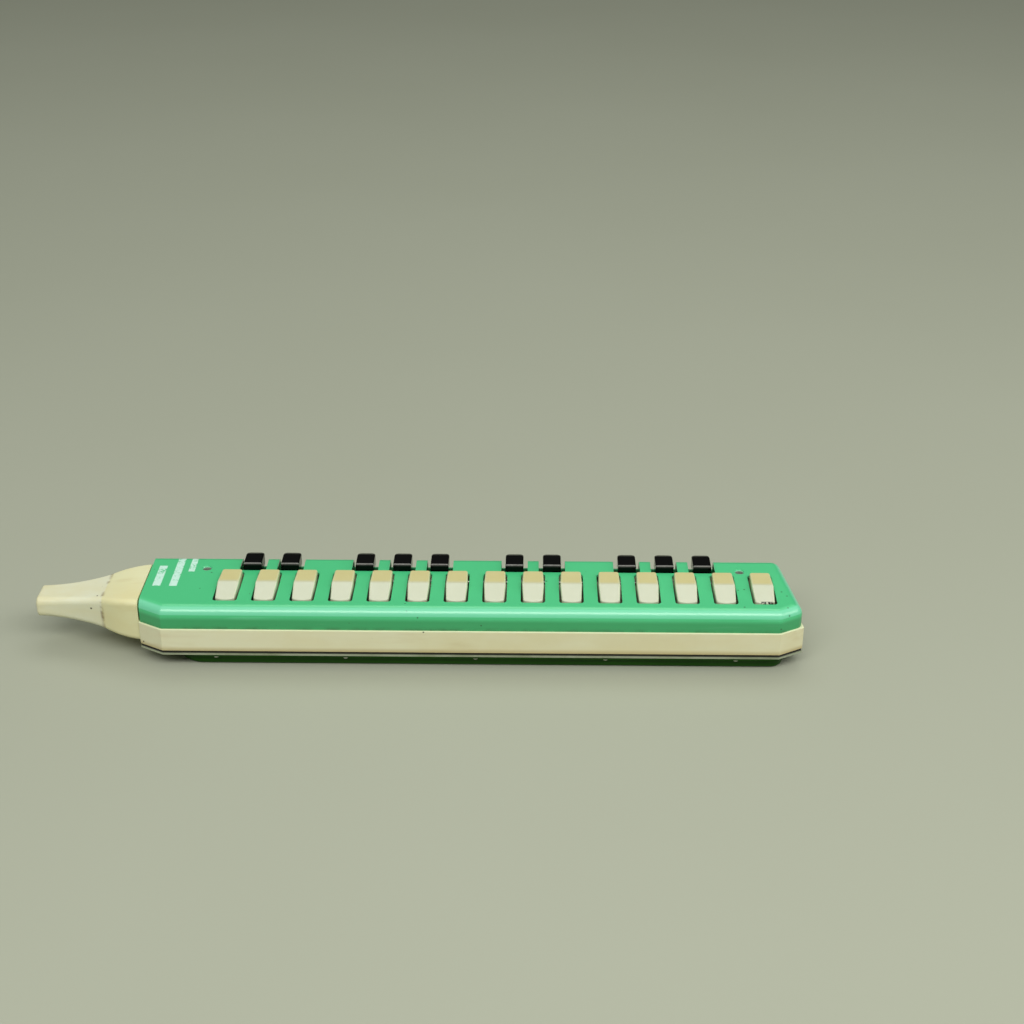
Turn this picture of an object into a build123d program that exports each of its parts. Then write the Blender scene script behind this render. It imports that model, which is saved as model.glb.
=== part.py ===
from build123d import *
import math
import os

# A 25-key blown melodica lying on its pressed bottom cover. Sizes are in millimetres.
# X runs along the length with the mouthpiece at -X. Y runs from the white keys at the front (-Y)
# to the black keys at the back (+Y). Z is up, and z = 0 is the surface that the melodica lies on.
# Pieces are made with x = 0 at the middle of the body, and moved to the overall centre when written.

# ---- Keyboard ----
key_pitch = 17.0            # from one white key to the next
white_count = 15
black_after = (0, 1, 3, 4, 5, 7, 8, 10, 11, 12)     # each black key stands after this white key
white_travel = 9.0          # degrees
black_travel = 12.0         # degrees

# ---- Body and its covers ----
left_margin = 38.5          # from the body's left end to the first white key
right_margin = 17.5         # from the last white key to the body's right end
body_width = 50.0
corner_x = 10.9             # plan chamfer of the body's front corners, along the length
corner_y = 6.2              # the same, across the width
end_lean = 6.0              # the right end is this much further in at the back than at the front
right_back_round = 5.5      # plan round of the right end's back corner
band_height = 11.0
band_edge = 0.4             # softened edges of the moulded body
cover_height = 10.3
cover_sheet = 1.0
cover_fillet = 4.6          # round top edge of the pressed cover
cover_step = 0.7            # the body stands out from the cover by this
left_corner_round = 1.2     # plan rounds of the cover's front chamfers
right_corner_round = 4.0
lip_height = 2.0            # rim of the body that locates the cover
lip_thick = 1.4
lip_gap = 0.1
deck_drop = 1.7             # the deck lies this far below the body's top edge
deck_thick = 1.5

# ---- Stack below the body ----
gasket_thick = 1.0
gasket_inset = 0.5
plate_thick = 1.0
plate_inset = 0.1
pan_gasket_thick = 0.4
pan_depth = 6.2
pan_sheet = 0.8
pan_wall_inset = 3.5        # from the body's long side to the pan's wall
pan_flange = 2.7
pan_left = 16.0             # from the body's left end to the pan's wall
pan_right = 8.5
pan_left_round = 12.0
pan_right_round = 5.5
pan_edge = 1.6              # round bottom edge of the pan

# ---- Reed chambers and reeds ----
cell_wall = 2.0             # between neighbouring chambers
cell_end_wall = 5.0         # from a chamber's end to the body's long side
tone_hole_x = 4.0
tone_hole_y = 5.0
reed_width = 2.0
reed_thick = 0.3
reed_base_width = 3.6
reed_base_length = 5.0
longest_reed = 30.0
shortest_reed = 14.0
reed_gap = 0.15             # between a reed's tongue and its slot, in plan
rivet_radius = 0.6
rivet_head_radius = 1.1
rivet_head = 0.4

# ---- Axle and key levers ----
axle_radius = 1.0
axle_from_back = 16.0       # from the body's back to the axle
axle_below_top = 4.5
axle_past_key = 8.5         # from the first and last white key's middle to the axle's ends
axle_fit = 0.05             # radial clearance in the keys
post_fit = 0.02             # radial clearance in the posts
boss_radius = 2.3
white_lever_width = 5.0
black_lever_width = 4.0
post_gap = 0.8              # between a post and the lever beside it
post_length = 5.6
post_lip = 0.8              # a post rises this far above the axle's middle
post_mouth = 1.7            # snap-in mouth of a post
pad_thick = 1.6
pad_length = 7.0
pad_side_gap = 0.05         # a pad is this much narrower than its chamber, each side
white_pad_reach = 7.5       # from the axle back to the middle of a white key's pad
black_pad_reach = 16.5      # from the axle forward to the middle of a black key's pad

# ---- Key caps, heights from the cover's top ----
white_back_gap = 1.0        # from the axle forward to the cap's back
white_reach = 25.4          # from the axle forward to the cap's front
white_ridge_reach = 13.4
white_back_top = 2.0
white_ridge_top = 2.55
white_front_top = 0.4
white_back_width = 9.0
white_ridge_width = 9.7
white_front_width = 8.6
white_front_bulge = 1.0
cap_skirt = 3.0             # the caps reach this far below the cover's top
cap_wall = 1.3
white_cap_round = 0.6
white_corner_round = 1.2
ridge_round = 3.0
black_front_gap = 2.0       # from the axle back to the cap's front
black_reach = 14.0          # from the axle back to the cap's back
black_top = 3.3
black_back_top = 2.4
black_slope_start = 3.2     # the cap's top falls over this last stretch
black_width = 8.2
black_corner_round = 2.0
black_cap_round = 0.7
black_skirt = 2.2

# ---- Slots in the cover ----
white_slot_width = 10.8
white_slot_round = 1.5
white_slot_front_gap = 0.55
white_slot_back_gap = 0.6
black_slot_gap = 1.9        # each side of the cap
black_slot_front_gap = 0.6
black_notch_depth = 5.6     # how far the slot runs down the back of the cover

# ---- Screws ----
cover_screw_left = 12.5     # from the first white key to the left screw
cover_screw_right = 8.5     # from the last white key back to the right screw
cover_screw_back = 12.8     # from the body's back
seat_radius = 2.3
seat_depth = 2.0
screw_boss_radius = 3.0
screw_radius = 0.9
thread_gap = 0.05
head_radius = 1.9
head_below_top = 0.6
pan_screw_pitch = 57.5
pan_screw_count = 5         # along each side
pan_screw_middle = 2.2      # the pattern's middle, to the right of the body's middle
pan_screw_radius = 0.7
pan_screw_head_radius = 1.15
pan_screw_head = 0.8
plate_screw_from_end = 5.5
plate_screw_left_y = 15.5
plate_screw_right_y = 12.0

# ---- Stop felt for the white keys ----
stop_reach = 24.5           # from the axle forward to the middle of the felt
stop_width = 4.0
felt_thick = 1.9
felt_gap = 0.15             # left under a white lever at the end of its travel

# ---- Neck and mouthpiece ----
neck_length = 17.3
neck_wide, neck_tall = 36.0, 20.4           # at the body
middle_wide, middle_tall = 32.4, 18.8       # at the neck's middle
joint_wide, joint_tall = 25.0, 15.5         # where neck and mouthpiece meet
neck_round = 2.6
neck_bottom_gap = 0.4       # from the body's bottom edge up to the neck
joint_above = 3.1           # from the body's bottom edge up to the joint's lower side
socket_depth = 10.5
spigot_length = 10.0
spigot_fit = 0.08           # clearance each side
joint_wall = 2.1            # wall of the neck around the spigot
spigot_wall = 1.3
mouth_length = 31.0
waist_wide, waist_tall = 18.2, 11.4         # half-way along the mouthpiece
tip_wide, tip_tall = 15.4, 9.4
tip_round = 3.2
mouth_hole_wide, mouth_hole_tall = 11.0, 5.6
duct_wide = 24.2
duct_window_tall = 6.6
duct_sleeve_length = 8.0
duct_sleeve_fit = 0.1
duct_sleeve_wall = 1.0
inlet_length = 12.0
inlet_wide = 20.0
inlet_wall = 3.2            # from the inlet to the first reed chamber

# ---- Moisture valve in the right end ----
button_radius = 2.3
button_fit = 0.06
button_proud = 1.2
button_travel = 2.0
valve_radius = 3.3
valve_thick = 1.2
seal_thick = 1.0
end_wall = 3.0
drain_wide = 12.0
drain_hole_length = 2.4
drain_hole_wide = 6.0
spring_coil_radius = 2.4
spring_wire_radius = 0.25
spring_turns = 5

# ---- Leaf springs under the keys ----
leaf_thick = 0.3
leaf_width = 2.4
leaf_foot = 6.0
leaf_gap = 0.1              # between a spring's tip and the lever above it

# ---- Worked out from the sizes above ----
body_length = (white_count - 1) * key_pitch + left_margin + right_margin
half_length = body_length / 2
half_width = body_width / 2
pan_top = pan_depth
plate_bottom = pan_top + pan_gasket_thick
plate_top = plate_bottom + plate_thick
body_bottom = plate_top + gasket_thick
band_top = body_bottom + band_height
cover_top = band_top + cover_height
deck_top = band_top - deck_drop
deck_bottom = deck_top - deck_thick
axle_y = half_width - axle_from_back
axle_z = cover_top - axle_below_top
cell_width = key_pitch / 2 - cell_wall
cell_half = half_width - cell_end_wall
pad_width = cell_width - 2 * pad_side_gap
foot_z = deck_top + pad_thick
white_x = [-half_length + left_margin + key_pitch * i for i in range(white_count)]
black_x = [white_x[i] + key_pitch / 2 for i in black_after]
all_keys_x = sorted(white_x + black_x)
post_width = (key_pitch - white_lever_width - black_lever_width - 4 * post_gap) / 2
post_offset = white_lever_width / 2 + post_gap + post_width / 2
cover_screw_x = (white_x[0] - cover_screw_left, white_x[-1] - cover_screw_right)
cover_screw_y = half_width - cover_screw_back
pan_screw_y = half_width - pan_wall_inset + pan_flange / 2
joint_z = body_bottom + joint_above + joint_tall / 2
duct_ceiling = deck_bottom
inlet_right = white_x[0] - cell_width / 2 - inlet_wall
button_z = (body_bottom + deck_bottom) / 2
drain_left = white_x[-1] + cell_width / 2 + cell_wall
overall_left = -half_length - neck_length - mouth_length


def right_end(y):
    """X of the body's leaning right end, at one place across the width."""
    return half_length - end_lean * (y + half_width - corner_y) / (body_width - corner_y)


valve_face = right_end(drain_wide / 2) - end_wall
button_end = right_end(0) + button_proud
overall_right = max(half_length, button_end)
to_overall_centre = Pos(-(overall_left + overall_right) / 2, 0, 0)


def block(x_low, x_high, y_low, y_high, z_low, z_high):
    """A box between two corners."""
    size = (x_high - x_low, y_high - y_low, z_high - z_low)
    return Pos(x_low, y_low, z_low) * Box(*size, align=(Align.MIN, Align.MIN, Align.MIN))


def rod(radius, x, y, z_low, z_high):
    """A vertical cylinder."""
    low = (Align.CENTER, Align.CENTER, Align.MIN)
    return Pos(x, y, z_low) * Cylinder(radius, z_high - z_low, align=low)


def cone(radius_low, radius_high, x, y, z_low, z_high):
    """A vertical cone frustum."""
    low = (Align.CENTER, Align.CENTER, Align.MIN)
    return Pos(x, y, z_low) * Cone(radius_low, radius_high, z_high - z_low, align=low)


def bar(radius, y, z, x_low, x_high):
    """A cylinder along X."""
    low = (Align.CENTER, Align.CENTER, Align.MIN)
    return Pos(x_low, y, z) * Rot(0, 90, 0) * Cylinder(radius, x_high - x_low, align=low)


def from_side(points, width, rounded_y=None):
    """A side view, drawn as (y, z) points, thickened equally both ways from x = 0."""
    view = Plane.YZ * Polygon(*points, align=None)
    if rounded_y is not None:
        view = fillet([v for v in view.vertices() if abs(v.Y - rounded_y) < 0.01], ridge_round)
    return extrude(view, amount=width / 2, both=True)


def cap_rim(cap, z_low, ridge_y):
    """The edges round a key cap's top, without those that run across its rounded ridge."""
    high = [e for e in cap.edges() if e.center().Z > z_low]
    return [e for e in high if abs(e.center().Y - ridge_y) > ridge_round + 0.5 or abs(e.center().X) > 0.1]


def body_outline(inset, left_round=0.0, right_round=0.0, beyond=0.0):
    """The body's plan: chamfered front corners and a leaning right end, stepped in by inset.

    The left end can be drawn further out by beyond, along the line of its chamfer.
    """
    x, y = half_length, half_width
    points = [(-x - beyond, -y + corner_y * (1 + beyond / corner_x)), (-x + corner_x, -y), (x - corner_x, -y),
              (x, -y + corner_y), (x - end_lean, y), (-x - beyond, y)]
    plan = Polygon(*points, align=None)
    if inset:
        plan = offset(plan, -inset, kind=Kind.INTERSECTION)
    back = [v for v in plan.vertices() if v.X > 0 and v.Y > 0]
    plan = fillet(back, right_back_round - inset)
    if left_round:
        plan = fillet([v for v in plan.vertices() if v.X < 0 and v.Y < 0], left_round)
    if right_round:
        plan = fillet([v for v in plan.vertices() if v.X > 0 and v.Y < 0], right_round)
    return plan


def slab(plan, z_low, z_high):
    """A plan extruded between two heights."""
    return extrude(Pos(0, 0, z_low) * plan, z_high - z_low)


def edges_at(shape, z):
    """The edges that lie flat at one height."""
    return [e for e in shape.edges() if abs(e.center().Z - z) < 0.01 and e.bounding_box().size.Z < 0.01]


# ---- Covers ----

def cover_shell():
    """The pressed cover's outer form, less its inner form. Its left end is cut square, with a crisp edge."""
    shapes = []
    for inset, top, rounding in ((cover_step, cover_top, cover_fillet),
                                 (cover_step + cover_sheet, cover_top - cover_sheet, cover_fillet - cover_sheet)):
        plan = body_outline(inset, left_corner_round, right_corner_round, corner_x)
        form = fillet(edges_at(slab(plan, band_top, top), top), rounding)
        end = -half_length + inset
        shapes.append(form & block(end, half_length, -half_width, half_width, band_top, top))
    return shapes[0] - shapes[1]


def white_slot(x):
    front = axle_y - white_reach - white_slot_front_gap
    back = axle_y - white_back_gap + white_slot_back_gap
    plan = Pos(x, (front + back) / 2) * RectangleRounded(white_slot_width, back - front, white_slot_round)
    return slab(plan, band_top + 1, cover_top + 1)


def black_slot(x):
    half = black_width / 2 + black_slot_gap
    front = axle_y + black_front_gap - black_slot_front_gap
    return block(x - half, x + half, front, half_width + 1, cover_top - black_notch_depth, cover_top + 1)


def top_cover():
    cover = cover_shell()
    for x in cover_screw_x:
        seat = cone(seat_radius - 0.3, seat_radius + cover_sheet, x, cover_screw_y,
                    cover_top - cover_sheet / 2 - seat_depth, cover_top - cover_sheet / 2)
        cover = cover + seat
        cover = cover - cone(screw_radius + 0.3, seat_radius, x, cover_screw_y,
                             cover_top - seat_depth, cover_top)
        cover = cover - rod(screw_radius + 0.3, x, cover_screw_y, band_top, cover_top)
    for x in white_x:
        cover = cover - white_slot(x)
    for x in black_x:
        cover = cover - black_slot(x)
    return cover


def pan_plan(grow):
    """Plan of the pan's wall: larger rounds at the mouthpiece end."""
    x_low = -half_length + pan_left - grow
    x_high = half_length - pan_right + grow
    y = half_width - pan_wall_inset + grow
    plan = Polygon((x_low, -y), (x_high, -y), (x_high, y), (x_low, y), align=None)
    plan = fillet([v for v in plan.vertices() if v.X < 0], pan_left_round + grow)
    return fillet([v for v in plan.vertices() if v.X > 0], pan_right_round + grow)


def pan_screw_places():
    first = -(pan_screw_count - 1) / 2
    places = [pan_screw_middle + pan_screw_pitch * (first + i) for i in range(pan_screw_count)]
    return [(x, side * pan_screw_y) for side in (-1, 1) for x in places]


def bottom_cover():
    outer = slab(pan_plan(0), 0, pan_top)
    outer = fillet(edges_at(outer, 0), pan_edge)
    inner = slab(pan_plan(-pan_sheet), pan_sheet, pan_top)
    inner = fillet(edges_at(inner, pan_sheet), pan_edge - pan_sheet)
    flange = slab(pan_plan(pan_flange), pan_top - pan_sheet, pan_top)
    pan = outer + flange - inner
    for x, y in pan_screw_places():
        pan = pan - rod(pan_screw_radius + thread_gap, x, y, 0, pan_top)
    return pan


def pan_gasket():
    ring = slab(pan_plan(pan_flange), pan_top, plate_bottom) - slab(pan_plan(-pan_sheet), pan_top, plate_bottom)
    for x, y in pan_screw_places():
        ring = ring - rod(pan_screw_radius + thread_gap, x, y, pan_top, plate_bottom)
    return ring


# ---- Body ----

def cell_boxes(z_low, z_high):
    half = cell_width / 2
    return [block(x - half, x + half, -cell_half, cell_half, z_low, z_high) for x in all_keys_x]


def inlet(z_low, z_high):
    return block(inlet_right - inlet_length, inlet_right, -inlet_wide / 2, inlet_wide / 2, z_low, z_high)


def drain_hole(z_low, z_high):
    half = drain_hole_wide / 2
    return block(drain_left + 0.3, drain_left + 0.3 + drain_hole_length, -half, half, z_low, z_high)


def plate_screw_places():
    left = [(-half_length + plate_screw_from_end, side * plate_screw_left_y) for side in (-1, 1)]
    right = [side * plate_screw_right_y for side in (-1, 1)]
    return left + [(right_end(y) - plate_screw_from_end, y) for y in right]


def post_places():
    places = [x - post_offset for x in white_x[::2]]
    return places + [white_x[-1] + post_offset]


def stop_rail_top():
    """Top of the rail under the felt: the pressed white lever stops on the felt."""
    reach = stop_reach + stop_width / 2
    turn = math.radians(white_travel)
    pressed = axle_z - reach * math.sin(turn) + (white_lever_front_low() - axle_z) * math.cos(turn)
    return pressed - felt_gap - felt_thick


def white_lever_front_low():
    return cover_top - cap_skirt - 0.6


def ducts():
    """Air passages that the gasket closes from below: inlet duct, side pockets and drain chamber."""
    half = duct_wide / 2
    wall = cell_end_wall
    start = -half_length + duct_sleeve_length + 1
    window_bottom = duct_ceiling - duct_window_tall
    cuts = [block(-half_length - 1, start + 1, -half, half, window_bottom, duct_ceiling),
            block(start, inlet_right, -half, half, body_bottom, duct_ceiling)]
    for side in (-1, 1):
        near, far = sorted((side * (half + 2), side * (half_width - wall)))
        cuts.append(block(start + 1, inlet_right, near, far, body_bottom, duct_ceiling))
    cuts.append(block(drain_left, valve_face, -drain_wide / 2, drain_wide / 2, body_bottom, deck_bottom))
    cuts.append(bar(button_radius + button_fit, 0, button_z, valve_face - 1, half_length + 1))
    return cuts


def body():
    shell = slab(body_outline(0), body_bottom, band_top)
    corners = [e for e in shell.edges() if e.bounding_box().size.Z > band_height / 2]
    shell = fillet(corners, 2 * band_edge)
    shell = fillet(edges_at(shell, band_top) + edges_at(shell, body_bottom), band_edge)
    lip_outer = cover_step + cover_sheet + lip_gap
    rim = slab(body_outline(lip_outer, left_corner_round, right_corner_round), band_top - 0.5, band_top + lip_height)
    shell = shell + rim - slab(body_outline(lip_outer + lip_thick), deck_top, band_top + lip_height)
    axle_low, axle_high = axle_y - post_length / 2, axle_y + post_length / 2
    post_top = axle_z + post_lip
    for x in post_places():
        half = post_width / 2
        shell = shell + block(x - half, x + half, axle_low, axle_high, deck_bottom, post_top)
    for x in axle_stops():
        shell = shell + block(x - 1, x + 1, axle_low, axle_high, deck_bottom, post_top)
    for x in cover_screw_x:
        shell = shell + rod(screw_boss_radius, x, cover_screw_y, deck_bottom,
                            cover_top - cover_sheet / 2 - seat_depth)
        shell = shell - rod(screw_radius + thread_gap, x, cover_screw_y, deck_top, cover_top)
    shell = shell + stop_bar(deck_bottom, stop_rail_top())
    axle_span = axle_ends()
    shell = shell - bar(axle_radius + post_fit, axle_y, axle_z, *axle_span)
    mouth = post_mouth / 2
    shell = shell - block(*axle_span, axle_y - mouth, axle_y + mouth, axle_z, cover_top)
    for cut in cell_boxes(body_bottom, deck_bottom) + ducts():
        shell = shell - cut
    for places, y in ((white_x, axle_y + white_pad_reach), (black_x, axle_y - black_pad_reach)):
        for x in places:
            shell = shell - Pos(x, y, deck_bottom) * Box(tone_hole_x, tone_hole_y, 4 * deck_thick)
    for x, y in pan_screw_places():
        shell = shell - rod(pan_screw_radius + thread_gap, x, y, body_bottom, body_bottom + band_height / 2)
    for x, y in plate_screw_places():
        shell = shell - rod(screw_radius + thread_gap, x, y, body_bottom, body_bottom + band_height / 2)
    return shell


def stop_bar(z_low, z_high):
    """A strip across all the keys, under the front of the white levers."""
    middle = axle_y - stop_reach
    x_low, x_high = white_x[0] - key_pitch / 4, white_x[-1] + key_pitch / 4
    return block(x_low, x_high, middle - stop_width / 2, middle + stop_width / 2, z_low, z_high)


def key_stop_felt():
    return stop_bar(stop_rail_top(), stop_rail_top() + felt_thick)


def axle_ends():
    return white_x[0] - axle_past_key, white_x[-1] + axle_past_key


def axle_stops():
    """Middles of the two blocks that keep the axle from sliding out."""
    low, high = axle_ends()
    return low - 1, high + 1


def key_axle():
    low, high = axle_ends()
    rod_along = bar(axle_radius, axle_y, axle_z, low + 0.1, high - 0.1)
    return chamfer([e for e in rod_along.edges() if e.geom_type == GeomType.CIRCLE], 0.2)


# ---- Reed plate, reeds and gasket ----

def body_gasket():
    sheet = slab(body_outline(gasket_inset), plate_top, body_bottom)
    for cut in cell_boxes(plate_top, body_bottom):
        sheet = sheet - cut
    sheet = sheet - inlet(plate_top, body_bottom) - drain_hole(plate_top, body_bottom)
    for x, y in pan_screw_places():
        sheet = sheet - rod(pan_screw_radius + thread_gap, x, y, plate_top, body_bottom)
    for x, y in plate_screw_places():
        sheet = sheet - rod(screw_radius + thread_gap, x, y, plate_top, body_bottom)
    return sheet


def reed_length(place):
    share = place / (len(all_keys_x) - 1)
    return longest_reed + (shortest_reed - longest_reed) * share


def reed_start():
    """Front end of the reeds' bases."""
    return -cell_half + 1.5


def reed_plate():
    plate = slab(body_outline(plate_inset), plate_bottom, plate_top)
    tongue_start = reed_start() + reed_base_length
    half = reed_width / 2 + reed_gap
    for place, x in enumerate(all_keys_x):
        tongue_end = tongue_start + reed_length(place) + reed_gap
        plate = plate - block(x - half, x + half, tongue_start + 0.2, tongue_end, plate_bottom, plate_top)
        plate = plate - rod(rivet_radius + post_fit, x, reed_start() + reed_base_length / 2, plate_bottom, plate_top)
    plate = plate - inlet(plate_bottom, plate_top) - drain_hole(plate_bottom, plate_top)
    for x, y in pan_screw_places():
        plate = plate - rod(pan_screw_radius + thread_gap, x, y, plate_bottom, plate_top)
    for x, y in plate_screw_places():
        plate = plate - rod(screw_radius + thread_gap, x, y, plate_bottom, plate_top)
        plate = plate - cone(head_radius, screw_radius + thread_gap, x, y, plate_bottom, plate_top)
    return plate


def reed(place, x):
    start = reed_start()
    z_low, z_high = plate_bottom - reed_thick, plate_bottom
    base = block(x - reed_base_width / 2, x + reed_base_width / 2, start, start + reed_base_length, z_low, z_high)
    tongue_end = start + reed_base_length + reed_length(place)
    tongue = block(x - reed_width / 2, x + reed_width / 2, start + reed_base_length, tongue_end, z_low, z_high)
    return base + tongue - rod(rivet_radius + post_fit, x, start + reed_base_length / 2, z_low, z_high)


def reed_rivet(x):
    y = reed_start() + reed_base_length / 2
    low = plate_bottom - reed_thick
    shank = rod(rivet_radius, x, y, low, plate_top)
    return shank + rod(rivet_head_radius, x, y, low - rivet_head, low) + rod(rivet_head_radius, x, y, plate_top,
                                                                            plate_top + rivet_head)


# ---- Keys ----

def white_cap():
    back = axle_y - white_back_gap
    ridge = axle_y - white_ridge_reach
    front = axle_y - white_reach
    low = cover_top - cap_skirt

    def form(wall, low_z):
        side = [(back - wall, low_z), (back - wall, cover_top + white_back_top - wall),
                (ridge, cover_top + white_ridge_top - wall), (front + wall, cover_top + white_front_top - wall),
                (front + wall, low_z)]
        corner = front + white_front_bulge + wall
        half_front, half_ridge, half_back = (w / 2 - wall for w in (white_front_width, white_ridge_width,
                                                                    white_back_width))
        edge = Polyline((-half_front, corner), (-half_ridge, ridge), (-half_back, back - wall),
                        (half_back, back - wall), (half_ridge, ridge), (half_front, corner))
        nose = ThreePointArc((half_front, corner), (0, front + wall), (-half_front, corner))
        plan = make_face([edge, nose])
        plan = fillet([v for v in plan.vertices() if abs(v.Y - ridge) > 1], white_corner_round)
        return from_side(side, 2 * white_ridge_width, ridge) & slab(plan, low_z, cover_top + 2 * white_ridge_top)

    outer = form(0, low)
    return fillet(cap_rim(outer, cover_top - 0.5, ridge), white_cap_round) - form(cap_wall, low - 1)


def white_lever():
    """Rib under the cap, boss on the axle, and the tail that carries the pad behind the axle."""
    back = axle_y - white_back_gap
    front = axle_y - white_reach + cap_wall + 0.2
    pad_low = axle_y + white_pad_reach - pad_length / 2
    pad_high = axle_y + white_pad_reach + pad_length / 2
    low = white_lever_front_low()
    boss_low = axle_z - boss_radius
    side = [(front, cover_top - cap_wall - 0.2), (front, low), (axle_y - 2 * boss_radius, boss_low + 0.4),
            (axle_y, boss_low), (pad_low, foot_z), (pad_high, foot_z), (pad_high, foot_z + 1.8),
            (axle_y + boss_radius, axle_z + 0.8), (axle_y, axle_z + boss_radius),
            (back - cap_wall / 2, axle_z + boss_radius), (back - cap_wall, cover_top + 0.9),
            (axle_y - white_ridge_reach, cover_top + white_ridge_top - cap_wall - 0.1)]
    return from_side(side, white_lever_width) + boss(white_lever_width)


def boss(width):
    return bar(boss_radius, axle_y, axle_z, -width / 2, width / 2)


def pad(reach):
    """Soft pad under the tail: a box that lies on the deck over the tone hole."""
    y = axle_y + reach
    half_x, half_y = pad_width / 2, pad_length / 2
    return block(-half_x, half_x, y - half_y, y + half_y, deck_top, foot_z)


def key_bore(width):
    return bar(axle_radius + axle_fit, axle_y, axle_z, -width, width)


def white_key():
    return white_cap() + white_lever() - key_bore(white_lever_width)


def black_cap():
    front = axle_y + black_front_gap
    back = axle_y + black_reach
    slope_y = back - black_slope_start
    low = cover_top - black_skirt

    def form(wall, low_z):
        side = [(front + wall, low_z), (front + wall, cover_top + black_top - wall),
                (slope_y, cover_top + black_top - wall),
                (back - wall, cover_top + black_back_top - wall), (back - wall, low_z)]
        half = black_width / 2 - wall
        plan = Polygon((-half, front + wall), (half, front + wall), (half, back - wall), (-half, back - wall),
                       align=None)
        plan = fillet([v for v in plan.vertices() if v.Y > front + 2 * wall + 1], black_corner_round - wall / 2)
        return from_side(side, 2 * black_width, slope_y) & slab(plan, low_z, cover_top + 2 * black_top)

    outer = form(0, low)
    rim = cap_rim(outer, cover_top + black_back_top - 0.5, slope_y)
    return fillet(rim, black_cap_round) - form(cap_wall, low - 1)


def black_lever():
    """Rib under the cap behind the axle, boss, and the tail that carries the pad in front of it."""
    front = axle_y + black_front_gap + cap_wall / 2
    back = axle_y + black_reach - cap_wall - 0.2
    pad_low = axle_y - black_pad_reach - pad_length / 2
    pad_high = axle_y - black_pad_reach + pad_length / 2
    boss_low = axle_z - boss_radius
    rib_top = cover_top + black_back_top - cap_wall - 0.1
    side = [(back, rib_top), (back, cover_top - black_skirt + 0.6), (axle_y + 8.5, cover_top - black_skirt - 1.4),
            (axle_y + boss_radius, boss_low + 0.8), (axle_y, boss_low), (axle_y - boss_radius, boss_low + 0.4),
            (pad_high + 0.8, foot_z + 2.2), (pad_high, foot_z), (pad_low, foot_z), (pad_low, foot_z + 2.0),
            (pad_low + 1.2, foot_z + 3.2), (axle_y - boss_radius, axle_z + 1.3), (axle_y, axle_z + boss_radius),
            (front, axle_z + boss_radius), (front + cap_wall, rib_top)]
    return from_side(side, black_lever_width) + boss(black_lever_width)


def black_key():
    return black_cap() + black_lever() - key_bore(black_lever_width)


# ---- Leaf springs ----

def white_leaf():
    """Foot on the deck, tip under the white lever in front of the axle."""
    foot = axle_y - 4
    bend = foot - leaf_foot
    tip = bend - leaf_foot - 1
    top = white_lever_low_at(tip) - leaf_gap
    return from_side([(foot, deck_top), (bend, deck_top), (tip, top - 2 * leaf_thick), (tip - 2, top - leaf_thick),
                      (tip - 2, top), (tip + 0.1, top - leaf_thick), (bend + 0.2, deck_top + leaf_thick),
                      (foot, deck_top + leaf_thick)], leaf_width)


def white_lever_low_at(y):
    front, low = axle_y - white_reach + cap_wall + 0.2, white_lever_front_low()
    knee, knee_low = axle_y - 2 * boss_radius, axle_z - boss_radius + 0.4
    return low + (knee_low - low) * (y - front) / (knee - front)


def black_leaf():
    """Foot on the deck, tip under the black lever behind the axle."""
    foot = axle_y + 1.5
    bend = foot + 3
    tip = axle_y + 8.5
    top = cover_top - black_skirt - 1.4 - leaf_gap
    return from_side([(foot, deck_top), (bend, deck_top), (tip + 0.2, top - 2 * leaf_thick), (tip + 2, top - leaf_thick),
                      (tip + 2, top), (tip, top - leaf_thick), (bend - 0.2, deck_top + leaf_thick),
                      (foot, deck_top + leaf_thick)], leaf_width)


# ---- Screws ----

def cover_screw(x):
    y, top = cover_screw_y, cover_top - head_below_top
    head = cone(screw_radius, head_radius, x, y, top - 1.1, top)
    screw = head + rod(screw_radius, x, y, deck_top + 0.5, top - 1.0)
    return screw - Pos(x, y, top) * Box(2 * head_radius, 0.5, 1.0)


def pan_screw(x, y):
    seat = pan_top - pan_sheet
    head = rod(pan_screw_head_radius, x, y, seat - pan_screw_head, seat)
    head = fillet(edges_at(head, seat - pan_screw_head), 0.3)
    screw = head + rod(pan_screw_radius, x, y, seat - 0.1, body_bottom + band_height / 2 - 0.5)
    return screw - Pos(x, y, seat - pan_screw_head) * Box(2 * pan_screw_head_radius, 0.4, 0.7)


def plate_screw(x, y):
    head = cone(head_radius - thread_gap, screw_radius, x, y, plate_bottom, plate_top)
    screw = head + rod(screw_radius, x, y, plate_bottom, body_bottom + band_height / 2 - 0.5)
    return screw - Pos(x, y, plate_bottom) * Box(2 * head_radius, 0.5, 0.8)


# ---- Neck and mouthpiece ----

def section(x, wide, tall, z, rounding):
    """A rounded rectangle across the air path."""
    return Plane(origin=(x, 0, z), x_dir=(0, 1, 0), z_dir=(1, 0, 0)) * RectangleRounded(wide, tall, rounding)


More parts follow.
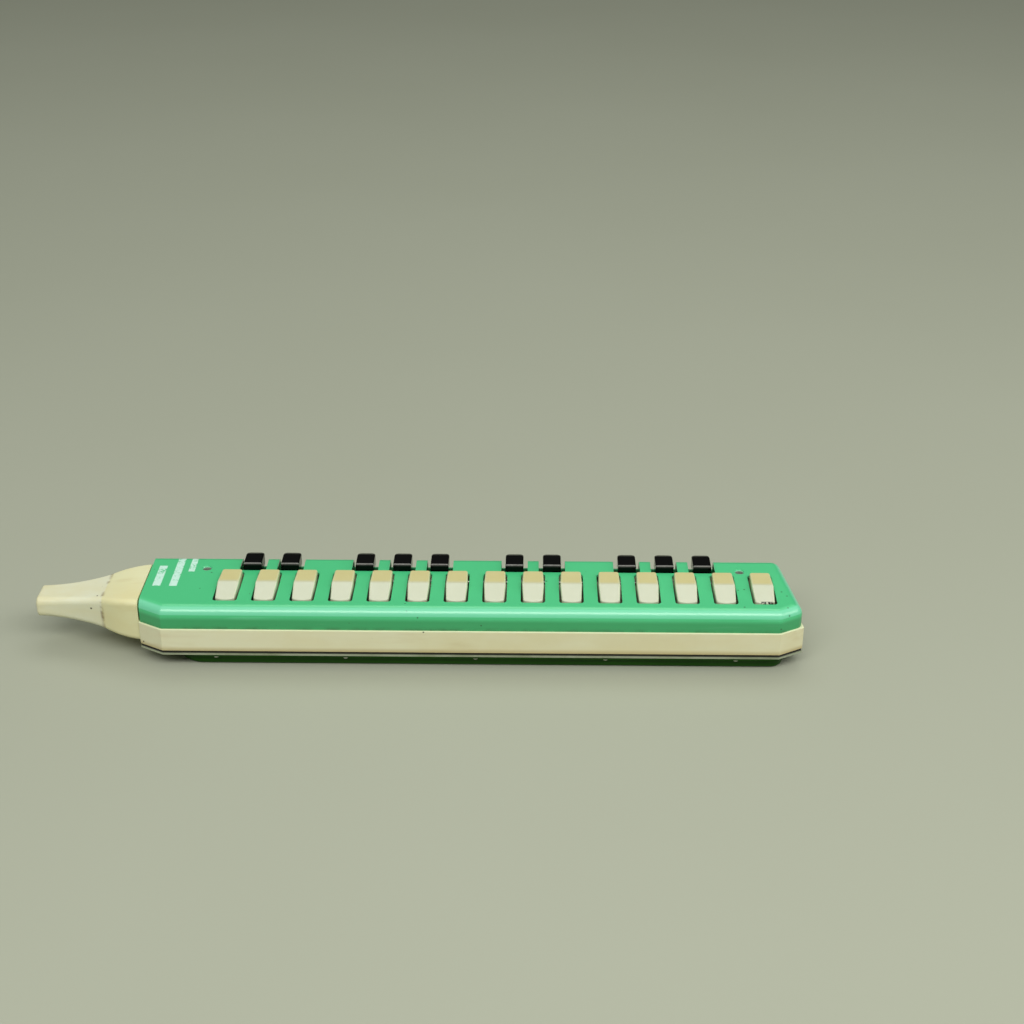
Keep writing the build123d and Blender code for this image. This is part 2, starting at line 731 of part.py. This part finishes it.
def neck():
    end = -half_length
    joint = end - neck_length
    neck_z = body_bottom + neck_bottom_gap + neck_tall / 2
    middle_z = (neck_z + joint_z) / 2
    form = loft([section(joint, joint_wide, joint_tall, joint_z, neck_round),
                 section(joint + 0.5 * neck_length, middle_wide, middle_tall, middle_z, neck_round),
                 section(end, neck_wide, neck_tall, neck_z, neck_round)])
    socket_wide = joint_wide - 2 * joint_wall
    socket_tall = joint_tall - 2 * joint_wall
    form = form - block(joint - 1, joint + socket_depth, -socket_wide / 2, socket_wide / 2,
                        joint_z - socket_tall / 2, joint_z + socket_tall / 2)
    sleeve_wide = duct_wide - 2 * duct_sleeve_fit
    sleeve_tall = duct_window_tall - 2 * duct_sleeve_fit
    sleeve_z = duct_ceiling - duct_window_tall / 2
    form = form + block(end - 0.5, end + duct_sleeve_length, -sleeve_wide / 2, sleeve_wide / 2,
                        sleeve_z - sleeve_tall / 2, sleeve_z + sleeve_tall / 2)
    way_wide, way_tall = sleeve_wide - 2 * duct_sleeve_wall, sleeve_tall - 2 * duct_sleeve_wall
    form = form - loft([section(joint + socket_depth - 0.5, socket_wide, socket_tall, joint_z, 0.5),
                        section(end - 0.5, way_wide, way_tall, sleeve_z, 0.5)], ruled=True)
    return form - block(end - 1, end + duct_sleeve_length + 1, -way_wide / 2, way_wide / 2,
                        sleeve_z - way_tall / 2, sleeve_z + way_tall / 2)


def mouthpiece():
    joint = -half_length - neck_length
    tip = joint - mouth_length
    waist = joint - 0.45 * mouth_length
    form = loft([section(tip, tip_wide, tip_tall, joint_z, tip_round),
                 section(waist, waist_wide, waist_tall, joint_z, neck_round),
                 section(joint, joint_wide, joint_tall, joint_z, neck_round)])
    rim = [e for e in form.edges() if abs(e.center().X - tip) < 0.01]
    form = fillet(rim, 1.2)
    spigot_wide = joint_wide - 2 * joint_wall - 2 * spigot_fit
    spigot_tall = joint_tall - 2 * joint_wall - 2 * spigot_fit
    form = form + block(joint - 0.5, joint + spigot_length, -spigot_wide / 2, spigot_wide / 2,
                        joint_z - spigot_tall / 2, joint_z + spigot_tall / 2)
    way_wide, way_tall = spigot_wide - 2 * spigot_wall, spigot_tall - 2 * spigot_wall
    form = form - block(joint - 1, joint + spigot_length + 1, -way_wide / 2, way_wide / 2,
                        joint_z - way_tall / 2, joint_z + way_tall / 2)
    form = form - loft([section(tip - 0.1, mouth_hole_wide, mouth_hole_tall, joint_z, 2.0),
                        section(joint - 0.9, way_wide, way_tall, joint_z, 2.0)], ruled=True)
    return form


# ---- Moisture valve ----

def drain_button():
    shaft = bar(button_radius, 0, button_z, valve_face - seal_thick, button_end)
    shaft = fillet([e for e in shaft.edges() if e.center().X > button_end - 0.01], 0.5)
    disc = bar(valve_radius, 0, button_z, valve_face - seal_thick - valve_thick, valve_face - seal_thick)
    nose = bar(spring_coil_radius - 2 * spring_wire_radius - 0.2, 0, button_z,
               valve_face - seal_thick - valve_thick - 1.5, valve_face - seal_thick)
    return shaft + disc + nose


def drain_seal():
    low, high = valve_face - seal_thick, valve_face
    return bar(valve_radius, 0, button_z, low, high) - bar(button_radius + 0.02, 0, button_z, low, high)


def drain_spring():
    start = drain_left + spring_wire_radius + 0.05
    end = valve_face - seal_thick - valve_thick - spring_wire_radius - 0.05
    height = end - start
    path = Helix(height / spring_turns, height, spring_coil_radius)
    start_plane = Plane(origin=path @ 0, z_dir=path % 0)
    coil = sweep(start_plane * Circle(spring_wire_radius), path)
    return Pos(start, 0, button_z) * Rot(0, 90, 0) * coil


# ---- Writing ----

def write(name, shapes):
    """One file per node. A node made of several separate solids is written as a group."""
    placed = [to_overall_centre * shape for shape in shapes]
    solids = [solid for shape in placed for solid in shape.solids()]
    node = solids[0] if len(solids) == 1 else Compound(children=solids)
    node.label = name
    export_step(node, f"parts/{name}.step")
    box = node.bounding_box()
    print(f"{name}: {len(solids)} solids, x {box.min.X:.2f} to {box.max.X:.2f}, z {box.min.Z:.2f} to {box.max.Z:.2f}")


def main():
    os.makedirs("parts", exist_ok=True)
    write("top_cover", [top_cover()])
    write("body", [body()])
    write("neck", [neck()])
    write("mouthpiece", [mouthpiece()])
    write("bottom_cover", [bottom_cover()])
    write("pan_gasket", [pan_gasket()])
    write("body_gasket", [body_gasket()])
    write("reed_plate", [reed_plate()])
    write("reeds", [reed(place, x) for place, x in enumerate(all_keys_x)])
    write("reed_rivets", [reed_rivet(x) for x in all_keys_x])
    write("key_axle", [key_axle()])
    write("key_stop_felt", [key_stop_felt()])
    white, white_pad = white_key(), pad(white_pad_reach)
    for number, x in enumerate(white_x, 1):
        write(f"white_key_{number:02d}", [Pos(x, 0, 0) * white, Pos(x, 0, 0) * white_pad])
    black, black_pad = black_key(), pad(-black_pad_reach)
    for number, x in enumerate(black_x, 1):
        write(f"black_key_{number:02d}", [Pos(x, 0, 0) * black, Pos(x, 0, 0) * black_pad])
    leaves = [Pos(x, 0, 0) * white_leaf() for x in white_x] + [Pos(x, 0, 0) * black_leaf() for x in black_x]
    write("key_springs", leaves)
    write("cover_screws", [cover_screw(x) for x in cover_screw_x])
    write("bottom_cover_screws", [pan_screw(x, y) for x, y in pan_screw_places()])
    write("reed_plate_screws", [plate_screw(x, y) for x, y in plate_screw_places()])
    write("drain_button", [drain_button()])
    write("drain_seal", [drain_seal()])
    write("drain_spring", [drain_spring()])


main()
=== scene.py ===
import math

import bpy
from mathutils import Matrix, Vector


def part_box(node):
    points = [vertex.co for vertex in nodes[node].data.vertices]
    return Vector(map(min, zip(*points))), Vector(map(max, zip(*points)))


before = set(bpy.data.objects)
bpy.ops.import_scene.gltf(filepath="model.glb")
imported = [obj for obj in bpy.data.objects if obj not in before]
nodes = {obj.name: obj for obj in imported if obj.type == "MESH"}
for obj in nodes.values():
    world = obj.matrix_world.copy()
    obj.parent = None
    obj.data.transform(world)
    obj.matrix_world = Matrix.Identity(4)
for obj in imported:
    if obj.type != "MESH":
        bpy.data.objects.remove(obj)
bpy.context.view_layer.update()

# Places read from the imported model, and a few depths in it, in metres
deck_above_body_bottom = 0.0093
pad_thickness = 0.0016
white_ridge_behind_front = 0.0122
black_cap_length = 0.012
body_low, body_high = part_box("body")
cover_low, cover_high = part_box("top_cover")
first_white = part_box("white_key_01")
last_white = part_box("white_key_15")
first_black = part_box("black_key_01")
body_middle = (body_low.x + body_high.x) / 2
first_key_x = (first_white[0].x + first_white[1].x) / 2
last_key_x = (last_white[0].x + last_white[1].x) / 2
key_pitch = (last_key_x - first_key_x) / 14
cap_front_y = first_white[0].y
black_front_y = first_black[1].y - black_cap_length
pad_top_z = body_low.z + deck_above_body_bottom + pad_thickness
neck_joint_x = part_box("neck")[0].x


# ---- Camera ----

def make_camera():
    """Looks down on the front, from a little right of the middle."""
    elevation, yaw, roll = math.radians(27.31), math.radians(-0.86), math.radians(-0.01)
    distance, right_shift, up_shift = 0.762, 0.0181, 0.0319
    level = math.cos(elevation)
    forward = Vector((math.sin(yaw) * level, math.cos(yaw) * level, -math.sin(elevation)))
    right = Vector((math.cos(yaw), -math.sin(yaw), 0))
    up = right.cross(forward)
    rolled_right = right * math.cos(roll) + up * math.sin(roll)
    rolled_up = up * math.cos(roll) - right * math.sin(roll)
    right, up = rolled_right, rolled_up
    camera = bpy.data.objects.new("camera", bpy.data.cameras.new("camera"))
    bpy.context.scene.collection.objects.link(camera)
    sensor_width, focal_pixels, image_pixels = 36, 1700, 1024
    camera.data.lens = sensor_width * focal_pixels / image_pixels
    camera.data.sensor_width = sensor_width
    camera.data.clip_start = 0.02
    target = Vector((body_middle, 0, cover_high.z))
    place = target - forward * distance + right * right_shift + up * up_shift
    turn = Matrix((right, up, -forward)).transposed().to_4x4()
    camera.matrix_world = Matrix.Translation(place) @ turn
    bpy.context.scene.camera = camera


# ---- Materials ----

def linear(red, green, blue):
    """An 8-bit display colour as a linear one."""
    channels = [c / 255 for c in (red, green, blue)]
    return tuple(c / 12.92 if c <= 0.04045 else ((c + 0.055) / 1.055) ** 2.4 for c in channels) + (1,)


class Shader:
    """A material's node tree, built by short calls that return output sockets."""

    def __init__(self, name):
        self.material = bpy.data.materials.new(name)
        self.material.use_nodes = True
        self.tree = self.material.node_tree
        self.surface = self.tree.nodes["Principled BSDF"]
        self.place = self.add("ShaderNodeTexCoord").outputs["Object"]
        axes = self.add("ShaderNodeSeparateXYZ")
        self.tree.links.new(self.place, axes.inputs[0])
        self.x, self.y, self.z = axes.outputs

    def add(self, kind, **settings):
        node = self.tree.nodes.new(kind)
        for name, value in settings.items():
            setattr(node, name, value)
        return node

    def give(self, socket, value):
        """Links a socket's value, or sets a plain one."""
        if isinstance(value, bpy.types.NodeSocket):
            self.tree.links.new(value, socket)
        else:
            socket.default_value = value

    def set(self, **values):
        """Sets the shader's inputs, named with _ for a space."""
        for name, value in values.items():
            self.give(self.surface.inputs[name.replace("_", " ")], value)

    def math(self, operation, first, second=0.0, third=0.0, clamp=False):
        node = self.add("ShaderNodeMath", operation=operation, use_clamp=clamp)
        for socket, value in zip(node.inputs, (first, second, third)):
            self.give(socket, value)
        return node.outputs[0]

    def stretched(self, stretch):
        node = self.add("ShaderNodeMapping")
        self.give(node.inputs["Vector"], self.place)
        node.inputs["Scale"].default_value = stretch
        return node.outputs[0]

    def noise(self, scale, detail=3.0, roughness=0.5, stretch=(1, 1, 1), distortion=0.0):
        node = self.add("ShaderNodeTexNoise")
        self.give(node.inputs["Vector"], self.stretched(stretch))
        node.inputs["Scale"].default_value = scale
        node.inputs["Detail"].default_value = detail
        node.inputs["Roughness"].default_value = roughness
        node.inputs["Distortion"].default_value = distortion
        return node.outputs["Fac"]

    def specks(self, scale, size):
        """1 inside small scattered round specks, else 0."""
        node = self.add("ShaderNodeTexVoronoi")
        self.give(node.inputs["Vector"], self.place)
        node.inputs["Scale"].default_value = scale
        return self.between(node.outputs["Distance"], size, size * 0.6)

    def between(self, value, low, high):
        """0 at low and 1 at high, smooth between them."""
        node = self.add("ShaderNodeMapRange", interpolation_type="SMOOTHSTEP")
        self.give(node.inputs["Value"], value)
        node.inputs["From Min"].default_value = low
        node.inputs["From Max"].default_value = high
        return node.outputs["Result"]

    def inside(self, value, low, high, soft):
        """1 between low and high, with soft edges."""
        rise = self.between(value, low - soft, low + soft)
        fall = self.between(value, high + soft, high - soft)
        return self.math("MULTIPLY", rise, fall)

    def mix(self, factor, first, second):
        node = self.add("ShaderNodeMix", data_type="RGBA")
        self.give(node.inputs["Factor"], factor)
        colour_inputs = [s for s in node.inputs if s.type == "RGBA"]
        self.give(colour_inputs[0], first)
        self.give(colour_inputs[1], second)
        return [s for s in node.outputs if s.type == "RGBA"][0]

    def scale(self, value, low, high):
        """Maps 0..1 linearly to low..high."""
        return self.math("MULTIPLY_ADD", value, high - low, low)

    def bump(self, height, distance, strength=1.0):
        node = self.add("ShaderNodeBump")
        node.inputs["Strength"].default_value = strength
        node.inputs["Distance"].default_value = distance
        self.give(node.inputs["Height"], height)
        self.give(self.surface.inputs["Normal"], node.outputs[0])

    def times(self, *factors):
        result = factors[0]
        for factor in factors[1:]:
            result = self.math("MULTIPLY", result, factor)
        return result


def cover_enamel():
    """Green enamel on pressed sheet, with fine scratches, worn printed bars and chips.

    The low part of the wall is darkened with painted shade, the round edge is paled with a painted
    highlight, and dirt gathers at the low edge.
    """
    s = Shader("green_enamel")
    clouds = s.noise(14, 4)
    colour = s.mix(clouds, linear(66, 189, 122), linear(82, 203, 139))
    scratches = s.between(s.noise(260, 2, 0.6, (0.05, 1, 1), 0.4), 0.66, 0.74)
    colour = s.mix(s.math("MULTIPLY", scratches, 0.2), colour, linear(130, 220, 176))
    # Painted shade: the low part of the cover's wall is darkened as if turned away from the light.
    wall = s.between(s.z, cover_low.z + 0.0062, cover_low.z + 0.004)
    colour = s.mix(s.math("MULTIPLY", wall, 0.55), colour, linear(34, 132, 70))
    # Painted highlight: the round top edge is paled as if it reflects the light overhead.
    painted_fillet_highlight = s.inside(s.z, cover_high.z - 0.0034, cover_high.z - 0.0004, 0.0003)
    colour = s.mix(s.math("MULTIPLY", painted_fillet_highlight, 0.4), colour, linear(160, 238, 214))
    low_edge = s.between(s.z, cover_low.z + 0.0022, cover_low.z)
    grime_and_shade = s.times(low_edge, s.between(s.noise(90, 5, 0.7), 0.35, 0.7))
    colour = s.mix(s.math("MULTIPLY", grime_and_shade, 0.55), colour, linear(46, 84, 48))
    bars = printed_bars(s)
    colour = s.mix(bars, colour, linear(206, 243, 228))
    chips = s.times(s.specks(240, 0.13), s.between(s.noise(60, 2), 0.56, 0.62))
    colour = s.mix(s.math("MULTIPLY", chips, 0.8), colour, linear(40, 76, 46))
    s.set(Base_Color=colour, Roughness=s.scale(s.noise(55, 4, 0.6), 0.24, 0.36),
          Coat_Weight=0.4, Coat_Roughness=0.1)
    peel = s.noise(420, 2, 0.4)
    dents = s.noise(24, 2, 0.4)
    s.bump(s.math("MULTIPLY_ADD", dents, 4.0, peel), 0.00003, 0.5)
    return s.material


def printed_bars(s):
    """Three plain pale bars across the mouthpiece end of the cover, worn thin in places."""
    low_y = -0.0043
    rows = ((0.0053, 0.0036, low_y, 0.0140),
            (0.0127, 0.0034, low_y, 0.0217),
            (0.0187, 0.0028, 0.0089, 0.0217))
    total = 0.0
    for offset, width, start, end in rows:
        middle = cover_low.x + offset
        along = s.inside(s.y, start, end, 0.0002)
        across = s.inside(s.x, middle - width / 2, middle + width / 2, 0.0002)
        total = s.math("ADD", total, s.times(along, across))
    on_top = s.between(s.z, cover_high.z - 0.003, cover_high.z - 0.0028)
    wear = s.between(s.noise(420, 4, 0.7), 0.68, 0.5)
    return s.times(total, on_top, wear)


def cream(name, main, stain, edge_z=None, dirt_x=None):
    """Aged cream moulding: cloudy yellowing, stains, specks, dirt in the seam, browner towards the low
    edge, and a painted highlight along the top edge under the cover.
    """
    s = Shader(name)
    clouds = s.between(s.noise(28, 5, 0.6, (0.5, 1, 1)), 0.35, 0.72)
    colour = s.mix(s.math("MULTIPLY", clouds, 0.7), main, stain)
    streaks = s.between(s.noise(130, 3, 0.6, (0.15, 1, 1)), 0.55, 0.75)
    colour = s.mix(s.math("MULTIPLY", streaks, 0.22), colour, linear(186, 160, 92))
    if edge_z is not None:
        # Darker and browner towards the low edge of the band.
        low_edge = s.math("MULTIPLY", s.between(s.z, edge_z + 0.0028, edge_z + 0.0004), 0.75)
        colour = s.mix(low_edge, colour, linear(190, 172, 118))
        # Painted highlight: a pale line along the band's top edge, as if the ledge under the cover catches
        # the light.
        painted_ledge_highlight = s.between(s.z, cover_low.z - 0.0006, cover_low.z - 0.0001)
        colour = s.mix(painted_ledge_highlight, colour, linear(224, 228, 188))
    if dirt_x is not None:
        near = s.inside(s.x, dirt_x - 0.0007, dirt_x + 0.0007, 0.0006)
        patchy = s.between(s.noise(170, 4, 0.6, (0.5, 1, 1)), 0.4, 0.62)
        colour = s.mix(s.times(near, patchy, 0.75), colour, linear(112, 78, 34))
    specks = s.times(s.specks(150, 0.085), s.between(s.noise(40, 2), 0.55, 0.6))
    colour = s.mix(specks, colour, linear(70, 60, 34))
    s.set(Base_Color=colour, Roughness=s.scale(s.noise(60, 4), 0.34, 0.5), Specular_IOR_Level=0.45,
          Subsurface_Weight=0.06, Subsurface_Radius=(0.6, 0.5, 0.3), Subsurface_Scale=0.004)
    s.bump(s.math("MULTIPLY_ADD", s.noise(35, 2), 5.0, s.noise(500, 3)), 0.00003, 0.5)
    return s.material


def pad_mask(s):
    """1 on the soft pad under a key's tail."""
    return s.between(s.z, pad_top_z + 0.00005, pad_top_z - 0.00005)


def white_key_plastic():
    """White moulding, tan behind the ridge, with a painted pale reflection on the front slope, painted
    highlights along the side edges, and painted shade low down by the slot.
    """
    s = Shader("white_key_plastic")
    ridge = cap_front_y + white_ridge_behind_front
    # Tan behind the ridge is the plastic's own colour; the paler front is a painted reflection of the light
    # on the front slope.
    behind_ridge = s.between(s.y, ridge - 0.0008, ridge + 0.0024)
    patches = s.noise(70, 4, 0.6)
    tan = s.mix(patches, linear(204, 193, 134), linear(213, 206, 152))
    pale = s.mix(patches, linear(198, 202, 176), linear(210, 213, 191))
    colour = s.mix(behind_ridge, pale, tan)
    from_centre = s.math("SUBTRACT", s.x, first_key_x - key_pitch / 2)
    from_centre = s.math("FLOORED_MODULO", from_centre, key_pitch)
    from_centre = s.math("ABSOLUTE", s.math("SUBTRACT", from_centre, key_pitch / 2))
    # Painted highlight along the key's side edges, where the rounded edges catch the light.
    side = s.between(from_centre, 0.0037, 0.0045)
    colour = s.mix(s.math("MULTIPLY", side, 0.45), colour, linear(208, 222, 184))
    # Painted shade: the key is darkened low down, where it sinks into the slot below the cover top.
    grime_and_shade = s.times(s.between(s.z, cover_high.z + 0.0002, cover_high.z - 0.001), 0.5)
    colour = s.mix(grime_and_shade, colour, linear(150, 138, 92))
    chip_x = s.inside(s.x, last_key_x - 0.0018, last_key_x + 0.0036, 0.0004)
    chip_y = s.between(s.y, cap_front_y + 0.0011, cap_front_y + 0.0006)
    chip = s.times(chip_x, chip_y, s.between(s.noise(700, 3, 0.6), 0.44, 0.5))
    colour = s.mix(chip, colour, linear(34, 30, 20))
    colour = s.mix(pad_mask(s), colour, linear(122, 82, 54))
    s.set(Base_Color=colour, Roughness=s.scale(s.noise(120, 4), 0.28, 0.42), Subsurface_Weight=0.05,
          Subsurface_Radius=(0.6, 0.5, 0.35), Subsurface_Scale=0.003)
    s.bump(s.math("MULTIPLY_ADD", s.noise(60, 2), 3.0, s.noise(600, 3)), 0.00002, 0.5)
    return s.material


def black_key_plastic():
    """Gloss black moulding with dust, fine rubbed scratches, and a painted highlight along the front top
    edge.
    """
    s = Shader("black_key_plastic")
    dust = s.times(s.specks(330, 0.1), s.between(s.noise(90, 2), 0.56, 0.62))
    colour = s.mix(s.math("MULTIPLY", dust, 0.3), linear(2, 2, 2), linear(110, 108, 100))
    colour = s.mix(pad_mask(s), colour, linear(122, 82, 54))
    # Painted highlight: a pale grey line along the cap's front top edge, as if it catches the light.
    edge = s.inside(s.y, black_front_y + 0.0001, black_front_y + 0.0007, 0.0002)
    edge = s.times(edge, s.between(s.z, first_black[1].z - 0.0012, first_black[1].z - 0.0007))
    colour = s.mix(s.times(edge, s.scale(s.noise(500, 2), 0.5, 1.0)), colour, linear(140, 138, 134))
    rub = s.between(s.noise(300, 3, 0.6, (1, 0.1, 1)), 0.5, 0.8)
    s.set(Base_Color=colour, Roughness=s.scale(rub, 0.1, 0.2), Specular_IOR_Level=0.1)
    s.bump(s.noise(500, 3), 0.00001, 0.4)
    return s.material


def shaded_pan_enamel():
    """Dark green enamel on the pressed pan, darkened further with painted shade from under the body,
    scuffed on its floor.
    """
    s = Shader("dark_green_enamel")
    # A darker green paint, with painted shade from under the body darkening it further.
    colour = s.mix(s.noise(30, 4), linear(20, 64, 2), linear(32, 82, 6))
    scuffs = s.between(s.noise(240, 4, 0.6, (0.06, 1, 1), 0.6), 0.62, 0.72)
    on_floor = s.between(s.z, 0.0012, 0.0002)
    colour = s.mix(s.times(scuffs, on_floor, 0.5), colour, linear(128, 138, 104))
    s.set(Base_Color=colour, Roughness=s.scale(s.noise(60, 4), 0.3, 0.45), Specular_IOR_Level=0.2)
    s.bump(s.noise(400, 2, 0.4), 0.00002, 0.4)
    return s.material


def metal(name, bright, dull, roughness, grain, stretch=(0.05, 1, 1)):
    """Bare metal with drawn grain and dull patches."""
    s = Shader(name)
    patches = s.between(s.noise(60, 5, 0.6), 0.4, 0.7)
    colour = s.mix(patches, bright, dull)
    lines = s.noise(grain, 3, 0.6, stretch)
    s.set(Base_Color=colour, Metallic=1.0, Roughness=s.scale(lines, roughness - 0.08, roughness + 0.12))
    s.bump(lines, 0.00001, 0.4)
    return s.material


def soft(name, dark, light, grain, depth):
    """Felt or rubber: matt, with a fine nap."""
    s = Shader(name)
    fibres = s.noise(grain, 4, 0.7, (1, 0.6, 1))
    s.set(Base_Color=s.mix(fibres, dark, light), Roughness=0.9, Sheen_Weight=0.2)
    s.bump(fibres, depth, 0.6)
    return s.material


def give_materials():
    steel = metal("plated_steel", linear(198, 198, 190), linear(150, 148, 138), 0.3, 500)
    white, black = white_key_plastic(), black_key_plastic()
    gasket = soft("gasket_rubber", linear(16, 14, 10), linear(34, 30, 22), 700, 0.00004)
    by_node = {
        "top_cover": cover_enamel(),
        "body": cream("cream_body", linear(228, 226, 194), linear(220, 211, 166), edge_z=body_low.z),
        "neck": cream("cream_neck", linear(228, 226, 184), linear(220, 208, 150), dirt_x=neck_joint_x),
        "mouthpiece": cream("cream_mouthpiece", linear(226, 228, 204), linear(216, 206, 154),
                            dirt_x=neck_joint_x),
        "bottom_cover": shaded_pan_enamel(),
        "reed_plate": metal("plate_aluminium", linear(206, 212, 196), linear(176, 184, 160), 0.38, 300),
        "reeds": metal("reed_brass", linear(214, 184, 110), linear(176, 140, 78), 0.28, 500, (1, 0.05, 1)),
        "reed_rivets": metal("rivet_aluminium", linear(200, 200, 196), linear(160, 160, 154), 0.35, 500),
        "key_springs": metal("spring_bronze", linear(200, 150, 96), linear(150, 104, 62), 0.3, 500,
                             (1, 0.05, 1)),
        "key_stop_felt": soft("felt", linear(92, 22, 22), linear(132, 42, 36), 900, 0.0003),
        "drain_button": metal("button_chrome", linear(224, 224, 220), linear(190, 190, 184), 0.14, 400,
                              (1, 1, 1)),
    }
    for name in ("key_axle", "cover_screws", "bottom_cover_screws", "reed_plate_screws", "drain_spring"):
        by_node[name] = steel
    for name in ("body_gasket", "pan_gasket", "drain_seal"):
        by_node[name] = gasket
    for name in nodes:
        if name.startswith("white_key"):
            by_node[name] = white
        if name.startswith("black_key"):
            by_node[name] = black
    for name, node in nodes.items():
        for slot in node.material_slots:
            slot.material = by_node[name]


# ---- Floor and light ----

def make_floor():
    mesh = bpy.data.meshes.new("floor")
    size = 3.0
    corners = [(-size, -size, 0), (size, -size, 0), (size, size, 0), (-size, size, 0)]
    mesh.from_pydata(corners, [], [(0, 1, 2, 3)])
    floor = bpy.data.objects.new("floor", mesh)
    bpy.context.scene.collection.objects.link(floor)
    s = Shader("floor_paint")
    s.set(Base_Color=s.mix(s.noise(3, 3), linear(163, 166, 148), linear(169, 172, 155)), Roughness=0.8)
    mesh.materials.append(s.material)


def area_light(name, place, size, power, colour):
    light = bpy.data.objects.new(name, bpy.data.lights.new(name, "AREA"))
    bpy.context.scene.collection.objects.link(light)
    light.data.shape = "RECTANGLE"
    light.data.size, light.data.size_y = size
    light.data.energy = power
    light.data.color = colour
    light.location = place
    aim = Vector((body_middle, 0, cover_high.z)) - light.location
    light.rotation_euler = aim.to_track_quat("-Z", "Y").to_euler()


def make_world():
    """A plain pale surround, bright overhead and dim near the horizon."""
    world = bpy.data.worlds.new("world")
    world.use_nodes = True
    tree = world.node_tree
    background = tree.nodes["Background"]
    background.inputs["Color"].default_value = (0.97, 1, 0.94, 1)
    direction = tree.nodes.new("ShaderNodeTexCoord")
    axes = tree.nodes.new("ShaderNodeSeparateXYZ")
    strength = tree.nodes.new("ShaderNodeMapRange")
    strength.inputs["From Min"].default_value = 0.35
    strength.inputs["From Max"].default_value = 0.85
    strength.inputs["To Min"].default_value = 0.05
    strength.inputs["To Max"].default_value = 0.5
    tree.links.new(direction.outputs["Generated"], axes.inputs[0])
    tree.links.new(axes.outputs["Z"], strength.inputs["Value"])
    tree.links.new(strength.outputs["Result"], background.inputs["Strength"])
    bpy.context.scene.world = world


def make_light():
    area_light("key_light", (0.15, -0.9, 1.2), (2.4, 0.5), 22, (1, 1, 0.97))
    area_light("back_light", (0.1, 0.7, 1.4), (1.2, 0.6), 4, (0.97, 1, 0.97))
    area_light("side_light", (1.3, -0.3, 0.7), (0.5, 0.5), 3, (1, 1, 0.97))


bpy.context.scene.view_settings.view_transform = "Standard"
make_camera()
give_materials()
make_floor()
make_world()
make_light()
